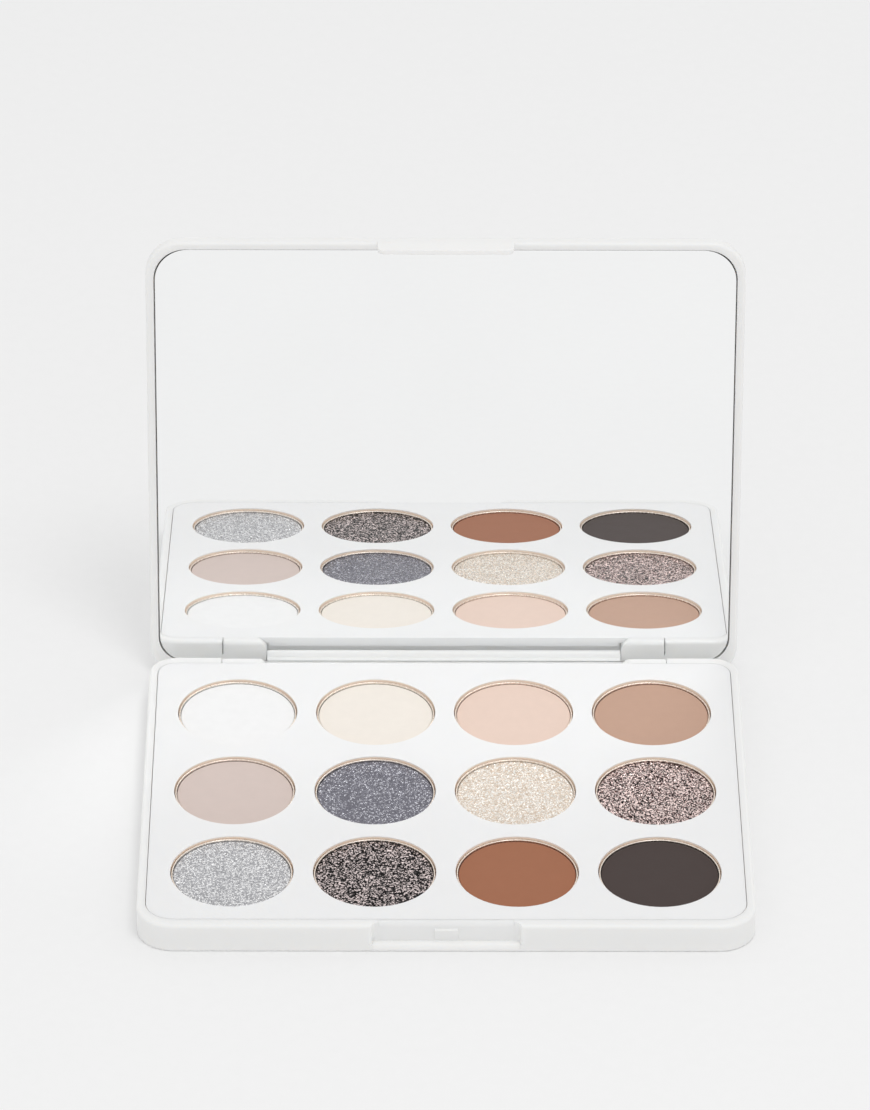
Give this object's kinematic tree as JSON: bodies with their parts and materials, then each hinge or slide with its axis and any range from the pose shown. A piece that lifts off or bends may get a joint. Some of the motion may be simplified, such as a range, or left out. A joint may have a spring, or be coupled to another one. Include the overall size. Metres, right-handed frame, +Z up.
{
  "type": "eyeshadow palette",
  "caption": "Slim hinged makeup palette: round pressed-powder pans in a flat white case, full mirror in the lid, finger notch and catch at the front.",
  "frame": {"origin": "centre of the base's flat underside", "axes": "+X across the case to the user's right, +Y from the catch to the hinge, +Z up out of the powder side; the lid is at rest fully open"},
  "size_m": [0.1324, 0.1256, 0.1055],
  "materials": {
    "case_plastic": "satin gloss moulded white",
    "tray_plastic": "satin moulded white",
    "pan_metal": "drawn thin sheet, satin",
    "glue": "cured adhesive",
    "pin_steel": "drawn wire",
    "tape": "double-sided tape",
    "mirror_glass": "back-silvered polished glass",
    "powder_white": "pressed powder, matte",
    "powder_cream": "pressed powder, matte",
    "powder_peach": "pressed powder, matte",
    "powder_tan": "pressed powder, matte",
    "powder_mauve": "pressed powder, matte",
    "powder_slate": "pressed powder, satin with fine sparkle",
    "powder_champagne": "pressed powder, coarse sparkle",
    "powder_rose": "pressed powder, coarse sparkle",
    "powder_silver": "pressed powder, coarse sparkle",
    "powder_gunmetal": "pressed powder, coarse sparkle",
    "powder_rust": "pressed powder, matte",
    "powder_espresso": "pressed powder, matte"
  },
  "bodies": {
    "base": {"base_shell": "case_plastic", "pan_tray": "tray_plastic", "pan_glue_pads": "glue", "pan_01": "pan_metal", "pan_02": "pan_metal", "pan_03": "pan_metal", "pan_04": "pan_metal", "pan_05": "pan_metal", "pan_06": "pan_metal", "pan_07": "pan_metal", "pan_08": "pan_metal", "pan_09": "pan_metal", "pan_10": "pan_metal", "pan_11": "pan_metal", "pan_12": "pan_metal", "powder_white": "powder_white", "powder_cream": "powder_cream", "powder_peach": "powder_peach", "powder_tan": "powder_tan", "powder_mauve": "powder_mauve", "powder_slate": "powder_slate", "powder_champagne": "powder_champagne", "powder_rose": "powder_rose", "powder_silver": "powder_silver", "powder_gunmetal": "powder_gunmetal", "powder_rust": "powder_rust", "powder_espresso": "powder_espresso", "hinge_pin_left": "pin_steel", "hinge_pin_right": "pin_steel"},
    "lid": {"lid_shell": "case_plastic", "mirror_tape": "tape", "mirror": "mirror_glass"}
  },
  "joints": [
    {"name": "lid_hinge", "type": "hinge", "parent": "base", "child": "lid", "pos_m": [0, 0.0513, 0.00235], "axis": [1, 0, 0], "range_deg": [0, 96.93]}
  ]
}
